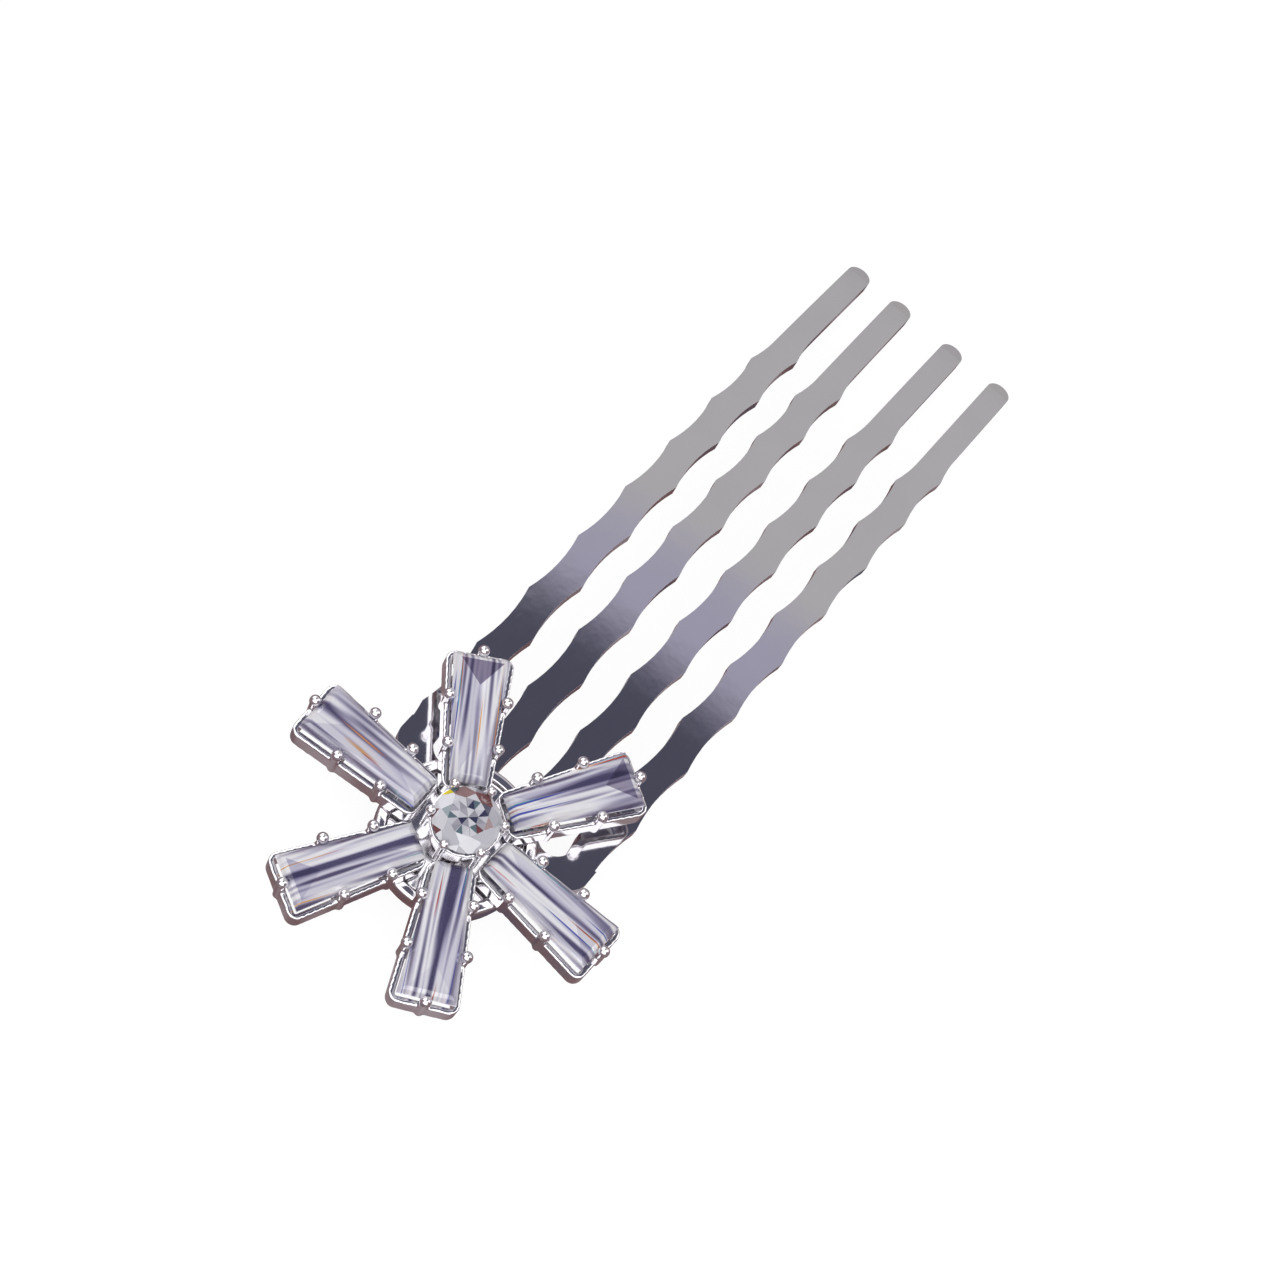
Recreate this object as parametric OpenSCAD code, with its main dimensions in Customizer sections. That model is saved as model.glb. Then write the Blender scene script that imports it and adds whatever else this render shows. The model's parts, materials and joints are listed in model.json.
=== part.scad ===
// Hair comb with a flower of six tapered-baguette stones round one brilliant.
// The comb lies flower up on a table: +Y runs from the flower to the tooth tips, +Z is up.
// The origin is under the middle of the whole comb, on the table.

/* [Comb] */
// Thickness of the sheet that the comb is cut from
sheet = 0.9; // [0.6:0.1:1.2]
// Distance between the middles of neighbouring teeth at their roots
tooth_spacing = 3.7; // [3.5:0.1:4.2]
// Width of a tooth over the points of its wavy edges
tooth_width = 2.2; // [1.8:0.1:2.4]
// Depth of each hollow in the wavy edges
scallop_depth = 0.28; // [0.15:0.01:0.35]
// Length of one wave along a tooth
scallop_pitch = 4.75; // [4:0.05:5.5]
// Distance from the flower's middle to the tooth tips
tip_reach = 52; // [44:0.5:60]
// Length of the plain end of a tooth, from its tip to the first point of its right edge
plain_end = 11.3; // [9:0.1:13]
// Sideways lean of each tooth in degrees, from left to right
tooth_lean = [-0.35, -0.6, 0.25, 0.6]; // [-1:0.05:1]
// Radius of the gentle downward arch of the teeth
arch_radius = 140; // [100:5:300]

/* [Base] */
// Radius of the round disc under the flower
disc_radius = 4.35; // [4:0.05:4.8]
// Height of the disc over the comb, with the solder under it
disc_height = 1.2; // [0.9:0.1:1.4]
// Depth of the dish in the top of the disc
dish_depth = 0.3; // [0.1:0.05:0.5]

/* [Petals] */
// Length of a tapered stone
stone_length = 7.2; // [6.6:0.1:7.6]
// Width of a tapered stone at its outer end
stone_outer_width = 3; // [2.6:0.1:3.2]
// Width of a tapered stone at its inner end
stone_inner_width = 1.9; // [1.6:0.1:2]
// Distance from the flower's middle to the outer end of a tapered stone
stone_reach = 9.75; // [9.5:0.05:10.2]
// Height of the tapered stones' girdles over the comb
girdle_height = 3; // [2.9:0.05:3.3]
// Thickness of the rail round each tapered stone
rail_wall = 0.35; // [0.3:0.01:0.4]
// Distance of the flower's middle to the left of the comb's middle line
flower_aside = 0.3; // [0:0.05:0.5]
// Radius of a prong
prong_radius = 0.25; // [0.2:0.01:0.28]
// Radius of the ball on top of a prong
ball_radius = 0.33; // [0.3:0.01:0.36]

/* [Centre] */
// Diameter of the round stone
round_diameter = 3.5; // [3.2:0.1:3.6]
// Height of the round stone's girdle over the comb
round_height = 3.9; // [3.8:0.05:4.2]

/* [Hidden] */
petal_count = 6;
petal_turn = [-2, -2, 3.5, 1.5, 1.5, -2];      // each petal's turn from its even place, in degrees
petal_slide = [-0.25, 0, -0.25, 0, 0, -0.3];   // how far outwards each petal is soldered
petal_nodes = [for (kind = ["setting", "stone"], petal = [1:petal_count])
    str("petal_", kind, "_", petal)];
$fn = 64;

overcut = 1;                  // how far a cutting shape runs past what it cuts
tooth_count = 4;
waist = tooth_width / 2 - scallop_depth;    // half the width of a tooth's plain end
scallops = 8;                 // waves along a tooth, the last of them lost in the head
scallop_facets = 360;         // a wave is a short arc of a large circle, so its circle is fine
arch_facets = 720;            // and so is the arch's
slot_end = 3.05;              // y of the round bottoms of the slots between teeth
pad_radius = 3.9;             // round pad of the comb under the disc
shoulder_back = 2.1;          // y of the back edge of the comb's two shoulders
shoulder_corner = 1.1;        // radius of the shoulders' back corners
arch_start = 5;               // y where the flat head ends and the arch begins
solder = 0.1;                 // thickness of a solder layer
dish_radius = 3.75;
disc_rim_round = 0.2;         // rounding of the disc's top edge

rest_gap = 0.01;              // slack where a stone rests on or against its setting
stone_gap = 0.03;             // slack between a tapered stone and its rail
rail_corner = 0.55;           // radius of the rail's outer corners
rail_inner = 0.2;             // the rail reaches this far past the stone's inner end
rail_drop = 0.5;              // the rail's top lies this far under the girdle
crown_height = 0.42;          // the table's height over the girdle
crown_inset = 0.38;           // the table's edge lies this far inside the girdle
girdle = 0.16;                // thickness of the girdle
keel_slope = 0.9;             // depth of the keel for each mm of the stone's half width
keel_inset = 1.3;             // the keel stops this far short of both ends of the stone
bar_width = 0.5;              // width of the bars that the keel rests on
prong_out = prong_radius + rest_gap;
ball_rise = 0.31;             // centre of a ball over the girdle
side_prongs = [2.5, 5.2];     // distances of the side prongs from a stone's outer end

round_radius = round_diameter / 2;
round_crown = 0.55;           // the round stone's height over its girdle
round_table = 1.0;            // radius of the round stone's table
round_girdle = 0.1;
round_pavilion = 1.5;         // the round stone's depth under its girdle
cup_top = round_height - 0.25;
cup_foot_radius = 1.35;
cup_rim_radius = round_radius + 0.2;
cup_bore = 0.7;               // radius of the hole up the cup's middle
claw_radius = 0.2;
claw_ball = 0.28;
claw_rise = 0.3;              // centre of a claw's ball over the round girdle
claw_root = 1;                // the claws grow out of the cup this far above its foot

// The teeth's underside at the tips, and the tilt that sets the tips and the pad on the table
tip_bottom = sqrt(pow(arch_radius - sheet, 2) - pow(tip_reach - arch_start, 2)) - arch_radius;
rest_tilt = atan((-sheet - tip_bottom) / (tip_reach + pad_radius));
rest_rise = pad_radius * sin(rest_tilt) + sheet * cos(rest_tilt);

// The longest reaches forwards and backwards once tilted, which centre the whole on the origin
front = tip_reach * cos(rest_tilt) - tip_bottom * sin(rest_tilt);
rail_out = stone_gap + rail_wall;
corner_along = stone_reach + rail_out - rail_corner;
rail_back = min([for (petal = [1:petal_count], side = [-1, 1])
    (corner_along + petal_slide[petal - 1]) * sin(petal_angle(petal))
    + side * corner_half(corner_along) * cos(petal_angle(petal)) - rail_corner]);
back = rail_back * cos(rest_tilt) - (girdle_height - rail_drop) * sin(rest_tilt);

function petal_angle(petal) = (petal - 1) * 360 / petal_count + petal_turn[petal - 1];

// Half the width of a tapered stone at a distance from the flower's middle
function stone_half(along) =
    stone_outer_width / 2
    - (stone_reach - along) / stone_length * (stone_outer_width - stone_inner_width) / 2;

// Distance of a rail corner's centre from the petal's middle line
function corner_half(along) = stone_half(along) + rail_out - rail_corner;

// Four corners of a tapered stone's outline, drawn in by an inset on every side
function stone_outline(inset) =
    let (inner = stone_reach - stone_length + inset, outer = stone_reach - inset)
    [
        [inner, stone_half(inner) - inset],
        [inner, inset - stone_half(inner)],
        [outer, inset - stone_half(outer)],
        [outer, stone_half(outer) - inset]
    ];

// Height of a tapered stone's keel over the comb, at a distance from the flower's middle
function keel_height(along) = girdle_height - girdle / 2 - keel_slope * stone_half(along);

function raised(outline, height) = [for (corner = outline) [corner[0], corner[1], height]];

module resting() {
    translate([0, -(front + back) / 2, rest_rise])
        rotate([rest_tilt, 0, 0]) children();
}

module comb_place() {
    resting() translate([flower_aside, 0, 0]) children();
}

module petal_place(petal) {
    rotate([0, 0, petal_angle(petal)]) translate([petal_slide[petal - 1], 0, 0]) children();
}

// One edge's hollows, with the straight edge of the tooth's plain end after the last of them
module scallop_cuts(side, first_point) {
    cut_radius = (pow(scallop_pitch / 2, 2) + pow(scallop_depth, 2)) / (2 * scallop_depth);
    for (wave = [0:scallops])
        translate([side * (waist + cut_radius), first_point + (0.5 - wave) * scallop_pitch])
            rotate(90 - side * 90) circle(r = cut_radius, $fn = scallop_facets);
    translate([side * (waist + tooth_width / 2) - tooth_width / 2, first_point + scallop_pitch / 2])
        square([tooth_width, plain_end]);
}

// The blank is wider than the tooth, so that the hollows alone make the points between them
module tooth_outline() {
    first_point = tip_reach - plain_end;
    root = shoulder_back + shoulder_corner;
    difference() {
        union() {
            translate([-tooth_width, root]) square([2 * tooth_width, tip_reach - waist - root]);
            translate([0, tip_reach - waist]) circle(r = waist);
        }
        scallop_cuts(1, first_point);
        scallop_cuts(-1, first_point - scallop_pitch / 2);
    }
}

// The head: a bar across the roots of the teeth, with round slot bottoms and a round pad
module head_outline() {
    half_bar = (tooth_count - 1) / 2 * tooth_spacing + tooth_width / 2 - scallop_depth / 2;
    slot_width = tooth_spacing - tooth_width + 2 * scallop_depth;
    slot_top = slot_end + slot_width / 2;
    difference() {
        union() {
            translate([-half_bar, shoulder_back + shoulder_corner])
                square([2 * half_bar, slot_top - shoulder_back - shoulder_corner]);
            translate([shoulder_corner - half_bar, shoulder_back])
                square([2 * (half_bar - shoulder_corner), shoulder_corner]);
            for (side = [-1, 1])
                translate([side * (half_bar - shoulder_corner), shoulder_back + shoulder_corner])
                    circle(r = shoulder_corner);
            circle(r = pad_radius);
        }
        for (slot = [-1:1])
            translate([slot * tooth_spacing, slot_top]) circle(d = slot_width);
    }
}

// The sheet beyond the head: an arch about a line across the comb, as wide as one tooth's strip
module arched_strip() {
    width = 2 * tooth_width;
    translate([-width / 2, arch_start, -arch_radius]) rotate([90, 0, 90]) linear_extrude(width)
        intersection() {
            difference() {
                circle(r = arch_radius, $fn = arch_facets);
                circle(r = arch_radius - sheet, $fn = arch_facets);
            }
            square([tip_reach, 2 * arch_radius]);
        }
}

// A tooth lies flat with the head as far as the arch, then follows it
module tooth() {
    intersection() {
        arched_strip();
        translate([0, 0, -tip_reach]) linear_extrude(2 * tip_reach) tooth_outline();
    }
    translate([0, 0, -sheet]) linear_extrude(sheet) intersection() {
        translate([-tooth_width, 0]) square([2 * tooth_width, arch_start]);
        tooth_outline();
    }
}

module comb() {
    color("silver") comb_place() {
        translate([0, 0, -sheet]) linear_extrude(sheet) head_outline();
        for (place = [0:tooth_count - 1])
            translate([(place - (tooth_count - 1) / 2) * tooth_spacing, arch_start, 0])
                rotate([0, 0, -tooth_lean[place]]) translate([0, -arch_start, 0]) tooth();
    }
}

module head_solder() {
    color("darkgray") comb_place() cylinder(r = pad_radius, h = solder);
}

// A thick round disc with a shallow dish in its top, inside a rounded rim
module base_disc() {
    round_from = disc_height - disc_rim_round;
    color("gainsboro") resting() rotate_extrude() difference() {
        union() {
            translate([0, solder]) square([disc_radius, round_from - solder]);
            translate([0, round_from]) square([disc_radius - disc_rim_round, disc_rim_round]);
            translate([disc_radius - disc_rim_round, round_from]) circle(r = disc_rim_round);
        }
        translate([0, disc_height - dish_depth]) square([dish_radius, disc_height]);
    }
}

// Solder between the disc's rim and the underside of each petal's rail
module petal_solder() {
    color("darkgray") resting() for (petal = [1:petal_count], side = [-1, 1]) {
        along = dish_radius - petal_slide[petal - 1];
        petal_place(petal)
            translate([along, side * (stone_half(along) + rail_out / 2), disc_height])
                cylinder(r = rail_wall / 2, h = solder);
    }
}

// The round stone's cup: a flared tube with six claws that end in balls over the stone's edge.
// The cone inside its rim has the slope of the stone's underside, which rests in it.
module centre_cup() {
    foot = disc_height - dish_depth;
    claw_height = round_height + claw_rise;
    claw_along = round_radius + rest_gap + claw_radius;
    seat_radius = round_radius * (1 - (round_height - cup_top) / round_pavilion) + rest_gap;
    seat_depth = (seat_radius - cup_bore) * round_pavilion / round_radius;
    color("gainsboro") resting() {
        difference() {
            translate([0, 0, foot])
                cylinder(r1 = cup_foot_radius, r2 = cup_rim_radius, h = cup_top - foot);
            translate([0, 0, foot - solder]) cylinder(r = cup_bore, h = cup_top);
            translate([0, 0, cup_top - seat_depth])
                cylinder(r1 = cup_bore, r2 = seat_radius, h = seat_depth);
        }
        for (claw = [0:petal_count - 1])
            rotate([0, 0, (claw + 0.5) * 360 / petal_count]) translate([claw_along, 0, 0]) {
                translate([0, 0, foot + claw_root])
                    cylinder(r = claw_radius, h = claw_height - foot - claw_root);
                translate([0, 0, claw_height]) sphere(r = claw_ball);
            }
    }
}

module centre_stone() {
    color("azure") resting() translate([0, 0, round_height]) {
        translate([0, 0, -round_pavilion]) cylinder(r1 = 0, r2 = round_radius, h = round_pavilion);
        cylinder(r = round_radius, h = round_girdle);
        translate([0, 0, round_girdle])
            cylinder(r1 = round_radius, r2 = round_table, h = round_crown - round_girdle);
    }
}

// A polygon with round corners: the corners' centres anticlockwise, and the corners' radius
module rounded_polygon(centres, radius) {
    last = len(centres) - 1;
    edges = [for (i = [0:last])
        let (run = centres[i == last ? 0 : i + 1] - centres[i], out = [run[1], -run[0]] * radius / norm(run))
        [centres[i] + out, centres[i == last ? 0 : i + 1] + out]];
    union() {
        polygon([for (edge = edges, point = edge) point]);
        for (centre = centres) translate(centre) circle(r = radius);
    }
}

// The outside of a petal's rail
module rail_outline() {
    corner_inner = stone_reach - stone_length - rail_inner + rail_corner;
    rounded_polygon([
        [corner_inner, corner_half(corner_inner)],
        [corner_inner, -corner_half(corner_inner)],
        [corner_along, -corner_half(corner_along)],
        [corner_along, corner_half(corner_along)]
    ], rail_corner);
}

// A bar across the bottom of the rail, just under the stone's keel
module keel_bar(along, bottom) {
    half = stone_half(along) + stone_gap + rail_wall / 2;
    translate([along - bar_width / 2, -half, bottom])
        cube([bar_width, 2 * half, keel_height(along + bar_width / 2) - rest_gap - bottom]);
}

module petal_setting(petal) {
    bottom = disc_height + solder;
    top = girdle_height - rail_drop;
    color("gainsboro") resting() petal_place(petal) {
        difference() {
            translate([0, 0, bottom]) linear_extrude(top - bottom) rail_outline();
            translate([0, 0, bottom - overcut]) linear_extrude(top - bottom + 2 * overcut)
                polygon(stone_outline(-stone_gap));
        }
        prong(stone_reach + prong_out, 0, bottom);
        for (from_end = side_prongs) {
            along = stone_reach - from_end;
            keel_bar(along, bottom);
            for (side = [-1, 1]) prong(along, side * (stone_half(along) + prong_out), bottom);
        }
    }
}

module prong(along, across, bottom) {
    translate([along, across, 0]) {
        translate([0, 0, bottom]) cylinder(r = prong_radius, h = girdle_height + ball_rise - bottom);
        translate([0, 0, girdle_height + ball_rise]) sphere(r = ball_radius);
    }
}

// A tapered baguette: table, sloping crown, girdle and a keel-shaped pavilion
module petal_stone(petal) {
    keel = [stone_reach - stone_length + keel_inset, stone_reach - keel_inset];
    corners = concat(
        raised(stone_outline(crown_inset), girdle_height + girdle / 2 + crown_height),
        raised(stone_outline(0), girdle_height + girdle / 2),
        raised(stone_outline(0), girdle_height - girdle / 2),
        [for (along = keel) [along, 0, keel_height(along)]]
    );
    walls = [for (layer = [0, 4], side = [0:3])
        [layer + side, layer + (side + 1) % 4, layer + 4 + (side + 1) % 4, layer + 4 + side]];
    pavilion = [[8, 9, 12], [9, 10, 13, 12], [10, 11, 13], [11, 8, 12, 13]];
    color("aliceblue", 0.6) resting() petal_place(petal)
        polyhedron(points = corners, faces = concat([[3, 2, 1, 0]], walls, pavilion));
}

comb();
head_solder();
base_disc();
petal_solder();
centre_cup();
centre_stone();
for (petal = [1:petal_count]) {
    petal_setting(petal);
    petal_stone(petal);
}
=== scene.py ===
import json
import math

import bmesh
import bpy
from mathutils import Matrix, Quaternion, Vector


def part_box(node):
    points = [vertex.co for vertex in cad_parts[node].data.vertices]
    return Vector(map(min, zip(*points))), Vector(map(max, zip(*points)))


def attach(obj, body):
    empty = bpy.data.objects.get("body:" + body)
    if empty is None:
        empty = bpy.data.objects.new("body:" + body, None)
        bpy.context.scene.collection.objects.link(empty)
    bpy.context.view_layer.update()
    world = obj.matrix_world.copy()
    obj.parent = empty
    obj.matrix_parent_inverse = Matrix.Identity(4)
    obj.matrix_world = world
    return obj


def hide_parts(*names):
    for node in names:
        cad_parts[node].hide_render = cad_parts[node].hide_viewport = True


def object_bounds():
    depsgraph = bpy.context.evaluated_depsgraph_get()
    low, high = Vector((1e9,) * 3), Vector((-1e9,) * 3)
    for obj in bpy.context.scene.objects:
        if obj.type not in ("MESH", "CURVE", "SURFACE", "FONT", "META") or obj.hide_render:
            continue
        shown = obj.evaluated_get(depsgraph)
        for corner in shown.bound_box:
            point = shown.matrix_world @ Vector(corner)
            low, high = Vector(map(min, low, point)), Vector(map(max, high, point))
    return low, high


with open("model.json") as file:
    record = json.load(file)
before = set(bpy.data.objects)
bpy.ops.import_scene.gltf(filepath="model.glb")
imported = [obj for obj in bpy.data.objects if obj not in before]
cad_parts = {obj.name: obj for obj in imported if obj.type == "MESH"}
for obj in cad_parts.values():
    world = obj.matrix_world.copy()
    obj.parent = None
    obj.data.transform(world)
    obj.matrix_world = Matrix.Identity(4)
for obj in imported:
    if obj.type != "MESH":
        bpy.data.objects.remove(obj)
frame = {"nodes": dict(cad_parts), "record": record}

CAD_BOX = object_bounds()
NODES = frame["nodes"]
MM = 0.001

# Camera: where it looks, from where, and its turn about its own line of sight
LOOK_AHEAD_OF_FLOWER = 18.1 * MM
LOOK_ASIDE = 0.1 * MM
LOOK_HEIGHT = 2 * MM
CAMERA_DISTANCE = 138.6 * MM
CAMERA_AZIMUTH = 5.03
CAMERA_ELEVATION = 54.4
CAMERA_ROLL = 36.4
CAMERA_LENS = 68.6

# Tapered stone, in its petal's own frame: +X runs outwards from the flower's middle
CROWN_STEPS = ((0.17 * MM, 0.22 * MM), (0.19 * MM, 0.15 * MM))
PAVILION_STEPS = ((0.28 * MM, 0.42 * MM), (0.28 * MM, 0.34 * MM))
KEEL_SPARE = 0.02 * MM

# Round stone
BRILLIANT_MAINS = 8
MAIN_FACET_EXTRA = math.radians(7)
PAVILION_EXTRA = math.radians(2)
STAR_EASE = math.radians(12)
GIRDLE_SHARE = 0.98
HALF_FACET_REACH = 0.995
STAR_REACH = 0.93

# Worn and polished edges of the metal
COMB_EDGE = 0.13 * MM
EDGE_STEPS = 4
SHARP_EDGE = math.radians(38)
COMB_SMOOTH_UNDER = 3
FLAT_JOIN = math.radians(0.2)
CAST_GRAIN = 0.05 * MM
CAST_ROUNDING = 9
MERGE = 0.0005 * MM


# ---------- the flower's own frame ----------

def mesh_points(name):
    return [v.co.copy() for v in NODES[name].data.vertices]


def middle(points):
    return sum(points, Vector()) / len(points)


HEAD_MOUNT = next(m for m in frame["record"]["mounts"] if m["name"] == "head_back")
FLOWER_UP = -Vector(HEAD_MOUNT["axis"]).normalized()
FLOWER_MIDDLE = middle([Vector(corner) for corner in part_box("centre_stone")])
PETALS = [name.rsplit("_", 1)[1] for name in sorted(NODES) if name.startswith("petal_stone_")]


def petal_frame(petal):
    """Turns petal coordinates into the object's: X outwards, Z up the flower's axis."""
    out = middle(mesh_points("petal_stone_" + petal)) - FLOWER_MIDDLE
    out -= out.dot(FLOWER_UP) * FLOWER_UP
    out.normalize()
    turn = Matrix((out, FLOWER_UP.cross(out), FLOWER_UP)).transposed().to_4x4()
    return Matrix.Translation(FLOWER_MIDDLE) @ turn


# ---------- mesh work ----------

def start_clean():
    if bpy.context.object and bpy.context.object.mode != "OBJECT":
        bpy.ops.object.mode_set(mode="OBJECT")
    bpy.ops.object.select_all(action="DESELECT")


def choose(piece):
    start_clean()
    piece.select_set(True)
    bpy.context.view_layer.objects.active = piece


def edit(piece):
    choose(piece)
    bpy.ops.object.mode_set(mode="EDIT")


def pick_faces(piece, wanted):
    """Selects, in edit mode, the faces that wanted(face) is true for."""
    bpy.ops.mesh.select_mode(type="FACE")
    bpy.ops.mesh.select_all(action="DESELECT")
    shape = bmesh.from_edit_mesh(piece.data)
    for face in shape.faces:
        face.select_set(wanted(face))
    bmesh.update_edit_mesh(piece.data)


def pick_points(piece, wanted):
    """Selects, in edit mode, the vertices that wanted(place) is true for."""
    bpy.ops.mesh.select_mode(type="VERT")
    bpy.ops.mesh.select_all(action="DESELECT")
    shape = bmesh.from_edit_mesh(piece.data)
    for point in shape.verts:
        point.select_set(wanted(point.co))
    shape.select_flush_mode()
    bmesh.update_edit_mesh(piece.data)


def apply_modifier(piece, kind, **settings):
    choose(piece)
    modifier = piece.modifiers.new(kind.title(), kind)
    for name, value in settings.items():
        setattr(modifier, name, value)
    bpy.ops.object.modifier_apply(modifier=modifier.name)


def node_copy(node, name):
    """A copy of a CAD node's mesh, its loose triangles merged and its flat faces made whole."""
    piece = bpy.data.objects.new(name, NODES[node].data.copy())
    bpy.context.scene.collection.objects.link(piece)
    piece.data.materials.clear()
    edit(piece)
    bpy.ops.mesh.select_all(action="SELECT")
    bpy.ops.mesh.remove_doubles(threshold=MERGE)
    bpy.ops.mesh.dissolve_limited(angle_limit=FLAT_JOIN)
    start_clean()
    return piece


def finish_piece(piece, slot, material, *nodes):
    piece.data.materials.clear()
    piece.data.materials.append(material)
    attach(piece, "root")
    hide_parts(*nodes)
    return piece


def polished_copy(node, name, edge, smooth_under):
    """A CAD node with its sharp edges rounded as polishing leaves them."""
    piece = node_copy(node, name)
    apply_modifier(piece, "BEVEL", width=edge, segments=EDGE_STEPS,
                   limit_method="ANGLE", angle_limit=SHARP_EDGE, use_clamp_overlap=True)
    choose(piece)
    bpy.ops.object.shade_smooth_by_angle(angle=math.radians(smooth_under))
    return piece


def cast_copy(node, name):
    """A CAD node as it comes from casting and tumbling: every edge and joint softly rounded."""
    piece = node_copy(node, name)
    apply_modifier(piece, "REMESH", mode="VOXEL", voxel_size=CAST_GRAIN, use_smooth_shade=True)
    apply_modifier(piece, "SMOOTH", factor=0.5, iterations=CAST_ROUNDING)
    return piece


# ---------- materials ----------

CUT_MAP = "along_stone"
PAINTED_FACET_TONE = "painted_facet_tone"
# Painted shade in the colour of each tapered stone's end facet and of its darker long side: 0 light, 1
# dark
PAINTED_END_FACET_SHADES = (0.3, 0.8, 0.9, 0.05, 0.5, 0.15)
PAINTED_SHADY_SIDE_TONE = 0.3
# Painted reflections: bars of light and shade in the tapered stones' colour, from near black to white
PAINTED_REFLECTION_STREAKS = ((0.0, (0.04, 0.035, 0.09)), (0.36, (0.1, 0.09, 0.18)), (0.42, (0.4, 0.38, 0.5)),
                 (0.47, (0.78, 0.77, 0.87)), (0.51, (1.0, 1.0, 1.0)), (0.57, (1.0, 1.0, 1.0)),
                 (0.61, (0.66, 0.64, 0.76)), (0.67, (0.15, 0.13, 0.22)), (1.0, (0.08, 0.07, 0.14)))
# Painted fire: coloured glints in the tapered stones' colour
PAINTED_FIRE_SHADES = ((0.0, (0.1, 0.12, 0.5)), (0.45, (0.1, 0.45, 0.5)), (0.52, (0.55, 0.08, 0.06)),
               (0.6, (0.9, 0.45, 0.1)))
# Painted reflections: the tones the round stone's facets show, dark to white, with dark red and a yellow
# glint
PAINTED_FACET_REFLECTIONS = ((0.0, (0.8, 0.8, 0.84)), (0.25, (0.38, 0.38, 0.43)), (0.4, (0.13, 0.2, 0.23)),
                (0.5, (0.04, 0.04, 0.1)), (0.58, (0.7, 0.7, 0.75)), (0.8, (0.18, 0.05, 0.05)),
                (0.86, (0.46, 0.45, 0.5)), (0.96, (1.0, 0.8, 0.02)))

# Facets given a painted glint of one strong colour: degrees round the stone from +X, share of its radius,
# tone
PAINTED_FIRE_FACETS = ((162, 0.85, 0.98), (60, 0.6, 0.55), (18, 0.7, 0.83), (230, 0.6, 0.55), (140, 0.8, 0.83))
DRAG_STRETCH = (1, 0.06, 1)
DRAG_SCALE = 9000
PEEL_SCALE = 900
HANDLING_MARKS = 1500
PLATING_IOR = 2.2
# Painted shade: how a facet's tone darkens the tapered stone's colour, from white to a dark violet grey
PAINTED_FACET_DIMMING = ((0.0, (1, 1, 1)), (0.5, (0.62, 0.6, 0.72)), (1.0, (0.22, 0.18, 0.28)))

# Bars in the tapered stones, painted light and shade and painted fire in the colour, and haze in the
# roughness: how fast they change along the stone and across it, per mm, and detail
PAINTED_STREAK_BARS = (0.09, 1.7, 1)
PAINTED_FIRE_COLOUR_BARS = (0.12, 3.1, 0)
PAINTED_FIRE_PLACE_BARS = (0.16, 5.5, 0)
HAZE_BARS = (0.4, 1.2, 2)
# Painted fire appears where its place bars pass the first value and is full at the second
PAINTED_FIRE_FROM, PAINTED_FIRE_FULL = 0.68, 0.76
STONE_IOR = 2.15
STONE_CLARITY = 0.3


def new_material(name):
    material = bpy.data.materials.new(name)
    material.use_nodes = True
    return material, material.node_tree.nodes, material.node_tree.links


def set_shader(shader, **values):
    for name, value in values.items():
        shader.inputs[name.replace("_", " ")].default_value = value


def cloud(nodes, links, vector, scale, detail=2):
    noise = nodes.new("ShaderNodeTexNoise")
    noise.inputs["Scale"].default_value = scale
    noise.inputs["Detail"].default_value = detail
    links.new(vector, noise.inputs["Vector"])
    return noise.outputs["Fac"]


def stretched(nodes, links, vector, scale):
    mapping = nodes.new("ShaderNodeMapping")
    mapping.inputs["Scale"].default_value = scale
    links.new(vector, mapping.inputs["Vector"])
    return mapping.outputs["Vector"]


def ranged(nodes, links, value, low, high):
    spread = nodes.new("ShaderNodeMapRange")
    spread.inputs["To Min"].default_value = low
    spread.inputs["To Max"].default_value = high
    links.new(value, spread.inputs["Value"])
    return spread.outputs["Result"]


def plating(name, colour, tint, rough, mottle_scale, mottle_depth, drag_marks):
    """Bright plating: a faint cloudiness, fine drag marks along the comb and a soft orange peel."""
    material, nodes, links = new_material(name)
    shader = nodes["Principled BSDF"]
    set_shader(shader, Metallic=1.0, IOR=PLATING_IOR)
    where = nodes.new("ShaderNodeTexCoord")

    mottle = cloud(nodes, links, where.outputs["Object"], mottle_scale, 3)
    shade = nodes.new("ShaderNodeMix")
    shade.data_type = "RGBA"
    shade.inputs["A"].default_value = (*colour, 1)
    shade.inputs["B"].default_value = (*tint, 1)
    links.new(mottle, shade.inputs["Factor"])
    links.new(shade.outputs["Result"], shader.inputs["Base Color"])

    along_comb = stretched(nodes, links, where.outputs["Object"], DRAG_STRETCH)
    drag = cloud(nodes, links, along_comb, DRAG_SCALE)
    links.new(ranged(nodes, links, drag, rough, rough + drag_marks), shader.inputs["Roughness"])

    peel = cloud(nodes, links, where.outputs["Object"], PEEL_SCALE)
    relief = nodes.new("ShaderNodeBump")
    relief.inputs["Strength"].default_value = 1
    relief.inputs["Distance"].default_value = mottle_depth
    links.new(peel, relief.inputs["Height"])
    links.new(relief.outputs["Normal"], shader.inputs["Normal"])
    return material


def add_ramp(nodes, stops, sharp=False):
    ramp = nodes.new("ShaderNodeValToRGB")
    bands = ramp.color_ramp
    bands.interpolation = "CONSTANT" if sharp else "LINEAR"
    bands.elements[0].position, bands.elements[0].color = stops[0][0], (*stops[0][1], 1)
    bands.elements[1].position, bands.elements[1].color = stops[-1][0], (*stops[-1][1], 1)
    for position, colour in stops[1:-1]:
        bands.elements.new(position).color = (*colour, 1)
    return ramp


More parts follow.
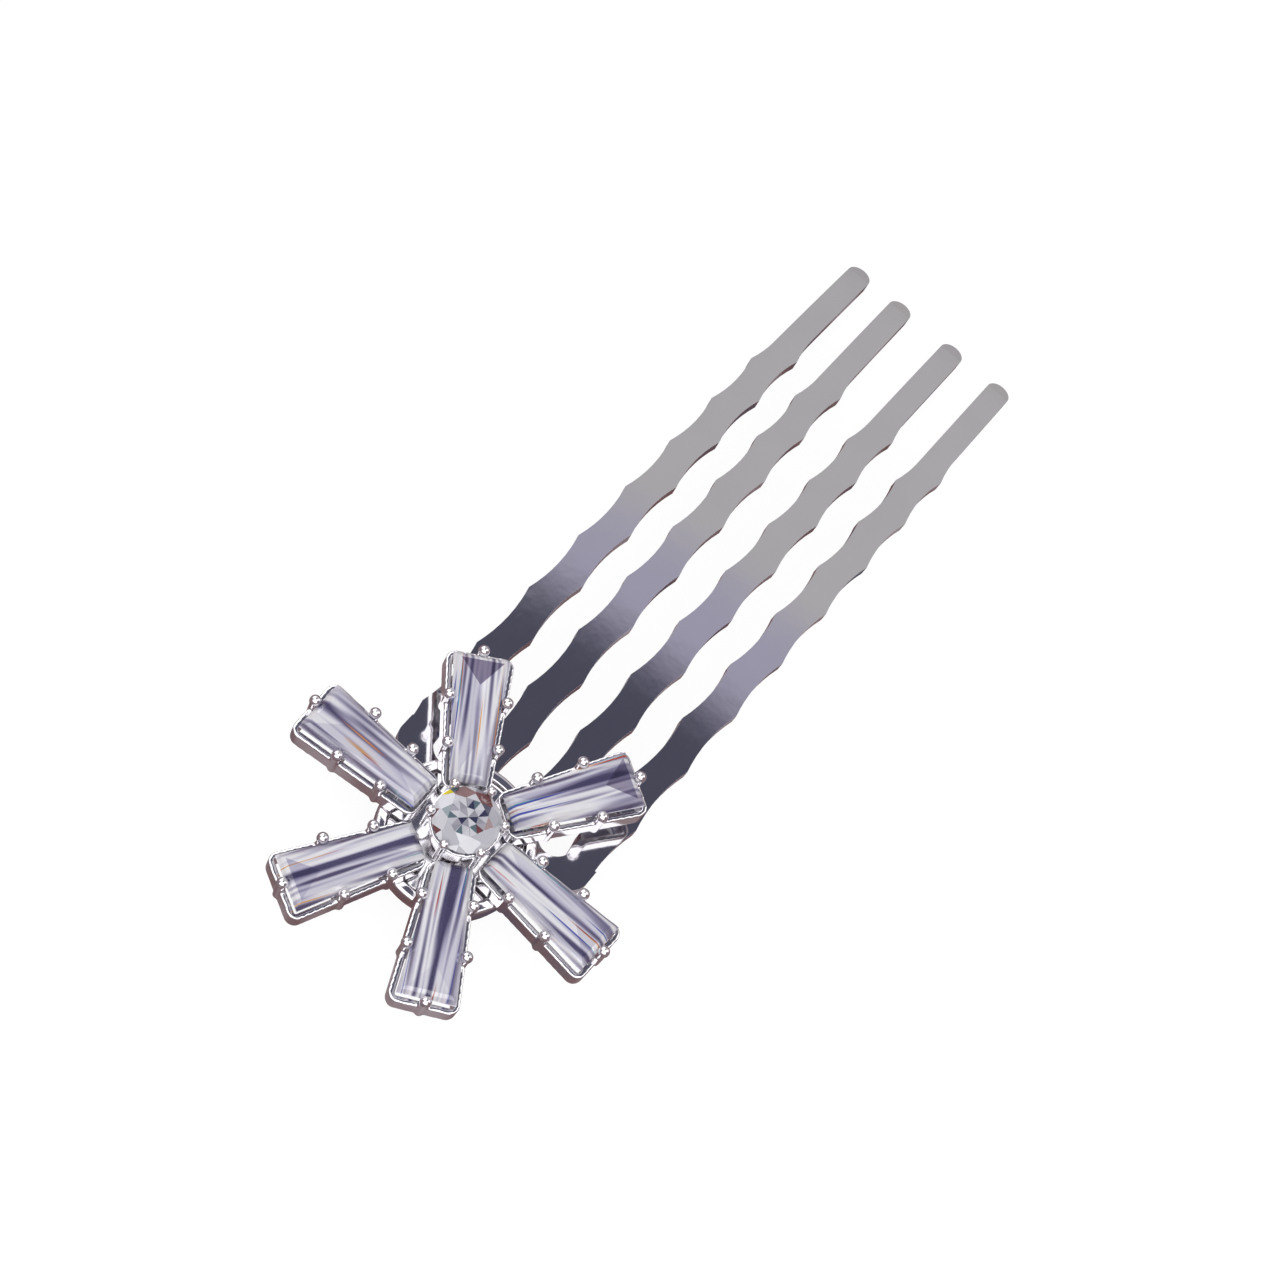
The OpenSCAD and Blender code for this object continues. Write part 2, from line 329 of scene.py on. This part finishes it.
def stone_with_painted_streaks(name):
    """Clear step-cut stone: painted bars of light and shade that run along the stone in place of the
    reflections in its steps, and a little painted fire.
    """
    material, nodes, links = new_material(name)
    shader = nodes["Principled BSDF"]
    set_shader(shader, Transmission_Weight=STONE_CLARITY, IOR=STONE_IOR)
    where = nodes.new("ShaderNodeUVMap")
    where.uv_map = CUT_MAP

    def bars(along, across, detail):
        place = stretched(nodes, links, where.outputs["UV"], (along, across, 1))
        return cloud(nodes, links, place, 1, detail)

    # Painted reflections: bars of light and shade along the stone
    shade = add_ramp(nodes, PAINTED_REFLECTION_STREAKS)
    links.new(bars(*PAINTED_STREAK_BARS), shade.inputs["Fac"])
    # Painted fire: blue, teal, red and orange glints put into the colour where the fire bars are high
    fire = add_ramp(nodes, PAINTED_FIRE_SHADES, sharp=True)
    links.new(bars(*PAINTED_FIRE_COLOUR_BARS), fire.inputs["Fac"])
    where_painted_fire = nodes.new("ShaderNodeMapRange")
    where_painted_fire.inputs["From Min"].default_value = PAINTED_FIRE_FROM
    where_painted_fire.inputs["From Max"].default_value = PAINTED_FIRE_FULL
    links.new(bars(*PAINTED_FIRE_PLACE_BARS), where_painted_fire.inputs["Value"])
    both = nodes.new("ShaderNodeMix")
    both.data_type = "RGBA"
    links.new(where_painted_fire.outputs["Result"], both.inputs["Factor"])
    links.new(shade.outputs["Color"], both.inputs["A"])
    links.new(fire.outputs["Color"], both.inputs["B"])
    # Painted shade: each facet's tone darkens the colour, as if that facet were turned away from the
    # light
    facet = nodes.new("ShaderNodeAttribute")
    facet.attribute_name = PAINTED_FACET_TONE
    painted_facet_shade = add_ramp(nodes, PAINTED_FACET_DIMMING)
    links.new(facet.outputs["Fac"], painted_facet_shade.inputs["Fac"])
    cut = nodes.new("ShaderNodeMix")
    cut.data_type = "RGBA"
    cut.blend_type = "MULTIPLY"
    cut.inputs["Factor"].default_value = 1
    links.new(both.outputs["Result"], cut.inputs["A"])
    links.new(painted_facet_shade.outputs["Color"], cut.inputs["B"])
    links.new(cut.outputs["Result"], shader.inputs["Base Color"])
    links.new(ranged(nodes, links, bars(*HAZE_BARS), 0.02, 0.1), shader.inputs["Roughness"])
    return material


def stone_with_painted_facets(name):
    """Round brilliant: each facet is painted with a tone that stands in for the light it throws back,
    with faint handling marks.
    """
    material, nodes, links = new_material(name)
    shader = nodes["Principled BSDF"]
    set_shader(shader, Transmission_Weight=STONE_CLARITY, IOR=STONE_IOR)
    tone = nodes.new("ShaderNodeAttribute")
    tone.attribute_name = PAINTED_FACET_TONE
    painted_reflection_palette = add_ramp(nodes, PAINTED_FACET_REFLECTIONS, sharp=True)
    links.new(tone.outputs["Fac"], painted_reflection_palette.inputs["Fac"])
    links.new(painted_reflection_palette.outputs["Color"], shader.inputs["Base Color"])
    where = nodes.new("ShaderNodeTexCoord")
    marks = cloud(nodes, links, where.outputs["Object"], HANDLING_MARKS)
    links.new(ranged(nodes, links, marks, 0.01, 0.06), shader.inputs["Roughness"])
    return material


COMB_PLATING = plating("comb_plating", (0.72, 0.71, 0.73), (0.66, 0.65, 0.68),
                       0.05, 260, 0.004 * MM, 0.05)
SETTING_PLATING = plating("setting_plating", (0.9, 0.89, 0.91), (0.82, 0.8, 0.82),
                          0.1, 600, 0.002 * MM, 0.03)
DULL_SOLDER = plating("solder", (0.62, 0.61, 0.62), (0.5, 0.49, 0.5),
                      0.28, 1500, 0.02 * MM, 0.15)
STONE_WITH_PAINTED_STREAKS = stone_with_painted_streaks("clear_stone")
STONE_WITH_PAINTED_FACETS = stone_with_painted_facets("clear_round_stone")


# ---------- the metal ----------

def comb():
    # Only the arch and the scallops are smooth: the sheet's face stays a true mirror up to its edge
    piece = polished_copy("comb", "polished_comb", COMB_EDGE, COMB_SMOOTH_UNDER)
    finish_piece(piece, "comb_plating", COMB_PLATING, "comb")


def base_disc():
    piece = cast_copy("base_disc", "polished_base_disc")
    finish_piece(piece, "setting_plating", SETTING_PLATING, "base_disc")


def centre_cup():
    piece = cast_copy("centre_cup", "polished_centre_cup")
    finish_piece(piece, "setting_plating", SETTING_PLATING, "centre_cup")


def petal_setting(petal):
    node = "petal_setting_" + petal
    piece = cast_copy(node, "polished_" + node)
    finish_piece(piece, "setting_plating", SETTING_PLATING, node)


def solders():
    for node in ("head_solder", "petal_solder"):
        NODES[node].data.materials.clear()
        NODES[node].data.materials.append(DULL_SOLDER)


# ---------- the stones ----------

def stone_measures(petal):
    """Ends, half widths and heights of a CAD tapered stone, in its petal's frame."""
    to_petal = petal_frame(petal).inverted()
    points = [to_petal @ point for point in mesh_points("petal_stone_" + petal)]
    inner = min(p.x for p in points)
    outer = max(p.x for p in points)
    top = max(p.z for p in points)
    bottom = min(p.z for p in points)
    inner_half = max(abs(p.y) for p in points if p.x - inner < 0.1 * MM)
    outer_half = max(abs(p.y) for p in points if outer - p.x < 0.1 * MM)
    rims = [p.z for p in points if outer - p.x < 0.02 * MM]
    return inner, outer, inner_half, outer_half, top, bottom, max(rims), min(rims)


def tapered_stone():
    """A tapered baguette in its petal's frame: step-cut crown and pavilion and a keel."""
    (inner, outer, inner_half, outer_half,
     _, bottom, rim_top, rim_bottom) = stone_measures(PETALS[0])
    start_clean()
    bpy.ops.mesh.primitive_cube_add(size=1, location=((inner + outer) / 2, 0, (rim_top + rim_bottom) / 2),
                                    scale=(outer - inner, 2 * outer_half, rim_top - rim_bottom))
    piece = bpy.context.object
    bpy.ops.object.transform_apply(location=True, rotation=True, scale=True)
    edit(piece)
    pick_points(piece, lambda place: place.x < (inner + outer) / 2)
    bpy.ops.transform.resize(value=(1, inner_half / outer_half, 1))
    pick_faces(piece, lambda face: face.normal.z > 0.9)
    for inset, rise in CROWN_STEPS:
        bpy.ops.mesh.inset(thickness=inset, depth=rise)
    bpy.ops.mesh.extrude_region_move()
    bpy.ops.transform.resize(value=(0.56, 0.002, 1))
    pick_faces(piece, lambda face: face.normal.z < -0.9)
    for inset, fall in PAVILION_STEPS:
        bpy.ops.mesh.inset(thickness=inset, depth=fall)
    fallen = sum(fall for _, fall in PAVILION_STEPS)
    bpy.ops.mesh.extrude_region_move(
        TRANSFORM_OT_translate={"value": (0, 0, bottom + KEEL_SPARE - rim_bottom + fallen)})
    bpy.ops.transform.resize(value=(0.72, 0.002, 1))
    bpy.ops.mesh.select_all(action="SELECT")
    bpy.ops.mesh.remove_doubles(threshold=0.01 * MM)
    bpy.ops.mesh.normals_make_consistent(inside=False)
    start_clean()
    return piece


def petal_stones():
    pattern = tapered_stone()
    cut_map = pattern.data.uv_layers.new(name=CUT_MAP)
    for corner in pattern.data.loops:
        place = pattern.data.vertices[corner.vertex_index].co
        cut_map.data[corner.index].uv = (place.x / MM, place.y / MM)
    painted_tones = pattern.data.attributes.new(PAINTED_FACET_TONE, "FLOAT", "FACE")
    stone_middle = middle([v.co for v in pattern.data.vertices])
    stone_top = max(v.co.z for v in pattern.data.vertices)
    outer_ends = []
    # Painted shade: the table's outer end gets each stone's own shade below, and the rest of its +Y half
    # a darker tone
    for face in pattern.data.polygons:
        on_table = face.normal.z > 0.99 and stone_top - face.center.z < 0.01 * MM
        if on_table and face.center.x > stone_middle.x + 1.5 * MM:
            outer_ends.append(face.index)
        elif on_table and face.center.y > 0:
            painted_tones.data[face.index].value = PAINTED_SHADY_SIDE_TONE
    pattern_inner = stone_measures(PETALS[0])[0]
    for number, petal in enumerate(PETALS):
        slide = stone_measures(petal)[0] - pattern_inner
        node = "petal_stone_" + petal
        piece = bpy.data.objects.new("cut_" + node, pattern.data.copy())
        bpy.context.scene.collection.objects.link(piece)
        # Painted shade of this stone's outer end
        for face in outer_ends:
            piece.data.attributes[PAINTED_FACET_TONE].data[face].value = PAINTED_END_FACET_SHADES[number]
        # Each stone's painted streaks and fire start at another place in the pattern
        for corner in piece.data.uv_layers[CUT_MAP].data:
            corner.uv += Vector((7.3 * number, 11.7 * number))
        piece.data.transform(petal_frame(petal) @ Matrix.Translation((slide, 0, 0)))
        finish_piece(piece, "clear_stone", STONE_WITH_PAINTED_STREAKS, node)
    bpy.data.objects.remove(pattern)


def round_frame():
    side = Vector((0, 1, 0)).cross(FLOWER_UP).normalized()
    turn = Matrix((side, FLOWER_UP.cross(side), FLOWER_UP)).transposed().to_4x4()
    return Matrix.Translation(FLOWER_MIDDLE) @ turn


def centre_stone():
    """A round brilliant, cut out of a blank with one plane for each facet."""
    to_stone = round_frame().inverted()
    points = [to_stone @ point for point in mesh_points("centre_stone")]
    radius = max(math.hypot(p.x, p.y) for p in points)
    top = max(p.z for p in points)
    bottom = min(p.z for p in points)
    rims = [p.z for p in points if math.hypot(p.x, p.y) > GIRDLE_SHARE * radius]
    girdle_top, girdle_bottom = max(rims), min(rims)
    table = max(math.hypot(p.x, p.y) for p in points if top - p.z < 0.01 * MM)

    start_clean()
    bpy.ops.mesh.primitive_cylinder_add(vertices=96, radius=radius, depth=top - bottom,
                                        location=(0, 0, (top + bottom) / 2))
    piece = bpy.context.object
    bpy.ops.object.transform_apply(location=True, rotation=True, scale=True)
    edit(piece)

    def grind(turn, reach, height, slope):
        """One facet: a plane through a point at this reach and height, sloping off the girdle's plane."""
        around = Vector((math.cos(turn), math.sin(turn), 0))
        normal = around * math.sin(abs(slope)) + Vector((0, 0, math.copysign(math.cos(slope), slope)))
        bpy.ops.mesh.select_all(action="SELECT")
        bpy.ops.mesh.bisect(plane_co=around * reach + Vector((0, 0, height)), plane_no=normal,
                            use_fill=True, clear_outer=True, threshold=0.0001 * MM)

    step = 2 * math.pi / BRILLIANT_MAINS
    crown_slope = math.atan2(top - girdle_top, radius - table)
    pavilion_slope = math.atan2(girdle_bottom - bottom, radius)
    for main in range(BRILLIANT_MAINS):
        grind(main * step, radius, girdle_top, crown_slope)
        grind(main * step, radius, girdle_bottom, -pavilion_slope)
    for half in range(2 * BRILLIANT_MAINS):
        turn = (half + 0.5) * step / 2
        grind(turn, radius * HALF_FACET_REACH, girdle_top, crown_slope + MAIN_FACET_EXTRA)
        grind(turn, radius * HALF_FACET_REACH, girdle_bottom, -(pavilion_slope + PAVILION_EXTRA))
    for star in range(BRILLIANT_MAINS):
        grind((star + 0.5) * step, table * STAR_REACH, top, crown_slope - STAR_EASE)
    bpy.ops.mesh.select_all(action="SELECT")
    bpy.ops.mesh.remove_doubles(threshold=0.002 * MM)
    bpy.ops.mesh.normals_make_consistent(inside=False)
    # The flat table is cut into triangles that carry painted reflections of the pavilion facets seen
    # through it
    pick_faces(piece, lambda face: face.normal.z > 0.999)
    bpy.ops.mesh.poke()
    bpy.ops.mesh.subdivide(number_cuts=1, quadcorner="INNERVERT")
    start_clean()
    piece.name = "cut_centre_stone"
    # Painted reflections: the facets' tones are spread over the palette by their number
    painted_tones = piece.data.attributes.new(PAINTED_FACET_TONE, "FLOAT", "FACE")
    for number, value in enumerate(painted_tones.data):
        value.value = (number * 7 % 19 + 0.5) / 20
    # Painted glints: one crown facet yellow, two dark blue and two dark red, the same from every side
    for turn, reach, tone in PAINTED_FIRE_FACETS:
        a = math.radians(turn)
        spot = Vector((math.cos(a), math.sin(a), 0)) * reach * radius
        crown = [face for face in piece.data.polygons if face.normal.z > 0.1]
        nearest = min(crown, key=lambda face: (face.center - spot).xy.length)
        painted_tones.data[nearest.index].value = tone
    piece.data.transform(round_frame())
    finish_piece(piece, "clear_stone", STONE_WITH_PAINTED_FACETS, "centre_stone")


# ---------- floor, light and camera ----------

# What polished metal sees of the floor
FLOOR_PATCHES = 140
FLOOR_SHADES = ((0.3, (0.01, 0.01, 0.04)), (0.48, (0.1, 0.03, 0.03)), (0.58, (0.2, 0.14, 0.15)),
                (0.7, (0.32, 0.27, 0.28)))


def floor():
    """A pale light table, which polished metal sees as darker than the eye does."""
    start_clean()
    bpy.ops.mesh.primitive_plane_add(size=1.2, location=(0, 0, CAD_BOX[0].z - 0.02 * MM))
    piece = bpy.context.object
    piece.name = "floor"
    material, nodes, links = new_material("pale_floor")
    shader = nodes["Principled BSDF"]
    set_shader(shader, Base_Color=(0.1, 0.1, 0.1, 1), Roughness=0.9, Emission_Strength=1.0)
    shader.inputs["Specular IOR Level"].default_value = 0
    path = nodes.new("ShaderNodeLightPath")
    glow = nodes.new("ShaderNodeMix")
    glow.data_type = "RGBA"
    links.new(path.outputs["Is Glossy Ray"], glow.inputs["Factor"])
    glow.inputs["A"].default_value = (0.93, 0.93, 0.93, 1)
    where = nodes.new("ShaderNodeTexCoord")
    patches = cloud(nodes, links, where.outputs["Object"], FLOOR_PATCHES)
    shades = add_ramp(nodes, FLOOR_SHADES)
    links.new(patches, shades.inputs["Fac"])
    links.new(shades.outputs["Color"], glow.inputs["B"])
    links.new(glow.outputs["Result"], shader.inputs["Emission Color"])
    piece.data.materials.append(material)


STUDIO_WHITE = (1.7, 1.7, 1.75, 1)

# The dusky room below the white: sines of the elevations where it starts and is complete
HORIZON_TOP = 0.42
HORIZON_FULL = 0.18

# Cards hung round the white studio: degrees from straight up, azimuth, full inside, gone outside, colour
CARDS = (
    (52, 180, 20, 34, (0.56, 0.55, 0.55)),
    (29, 180, 5, 11, (0.46, 0.445, 0.56)),
    (14, 180, 11, 17, (0.09, 0.09, 0.13)),
    (18, 150, 2, 4, (0.75, 0.66, 0.5)),
    (62, 90, 18, 32, (0.22, 0.19, 0.21)),
    (62, 300, 14, 26, (0.3, 0.27, 0.3)),
)


def toward(azimuth, elevation):
    a, e = math.radians(azimuth), math.radians(elevation)
    return Vector((math.sin(a) * math.cos(e), -math.cos(a) * math.cos(e), math.sin(e)))


def studio_light():
    """A white studio with darker cards, which polished metal and stones need to show their shape."""
    world = bpy.data.worlds.new("studio")
    bpy.context.scene.world = world
    world.use_nodes = True
    nodes, links = world.node_tree.nodes, world.node_tree.links
    where = nodes.new("ShaderNodeTexCoord")
    seen = nodes.new("ShaderNodeRGB").outputs["Color"]
    seen.default_value = STUDIO_WHITE
    for off_vertical, azimuth, full, gone, colour in CARDS:
        facing = nodes.new("ShaderNodeVectorMath")
        facing.operation = "DOT_PRODUCT"
        facing.inputs[1].default_value = toward(azimuth, 90 - off_vertical)
        links.new(where.outputs["Generated"], facing.inputs[0])
        edge = nodes.new("ShaderNodeMapRange")
        edge.interpolation_type = "SMOOTHSTEP"
        edge.inputs["From Min"].default_value = math.cos(math.radians(gone))
        edge.inputs["From Max"].default_value = math.cos(math.radians(full))
        links.new(facing.outputs["Value"], edge.inputs["Value"])
        card = nodes.new("ShaderNodeMix")
        card.data_type = "RGBA"
        card.inputs["B"].default_value = (*colour, 1)
        links.new(edge.outputs["Result"], card.inputs["Factor"])
        links.new(seen, card.inputs["A"])
        seen = card.outputs["Result"]
    height = nodes.new("ShaderNodeSeparateXYZ")
    links.new(where.outputs["Generated"], height.inputs["Vector"])
    low = nodes.new("ShaderNodeMapRange")
    low.inputs["From Min"].default_value = HORIZON_TOP
    low.inputs["From Max"].default_value = HORIZON_FULL
    links.new(height.outputs["Z"], low.inputs["Value"])
    horizon = nodes.new("ShaderNodeMix")
    horizon.data_type = "RGBA"
    horizon.inputs["B"].default_value = (0.2, 0.14, 0.15, 1)
    links.new(low.outputs["Result"], horizon.inputs["Factor"])
    links.new(seen, horizon.inputs["A"])
    seen = horizon.outputs["Result"]
    path = nodes.new("ShaderNodeLightPath")
    white_seen = nodes.new("ShaderNodeMix")
    white_seen.data_type = "RGBA"
    white_seen.inputs["B"].default_value = (1, 1, 1, 1)
    links.new(path.outputs["Is Camera Ray"], white_seen.inputs["Factor"])
    links.new(seen, white_seen.inputs["A"])
    links.new(white_seen.outputs["Result"], nodes["Background"].inputs["Color"])


def camera():
    seen = bpy.data.cameras.new("camera")
    seen.lens = CAMERA_LENS
    seen.sensor_width = 36
    seen.clip_start = 0.005
    seen.clip_end = 10
    holder = bpy.data.objects.new("camera", seen)
    bpy.context.scene.collection.objects.link(holder)
    away = toward(CAMERA_AZIMUTH, CAMERA_ELEVATION)
    look = Vector((LOOK_ASIDE, FLOWER_MIDDLE.y + LOOK_AHEAD_OF_FLOWER, LOOK_HEIGHT))
    holder.location = look + away * CAMERA_DISTANCE
    holder.rotation_mode = "QUATERNION"
    upright = (-away).to_track_quat("-Z", "Y")
    holder.rotation_quaternion = upright @ Quaternion((0, 0, 1), math.radians(CAMERA_ROLL))
    bpy.context.scene.camera = holder


camera()
comb()
base_disc()
centre_cup()
for petal in PETALS:
    petal_setting(petal)
solders()
petal_stones()
centre_stone()
floor()
studio_light()
bpy.context.scene.view_settings.view_transform = "Standard"
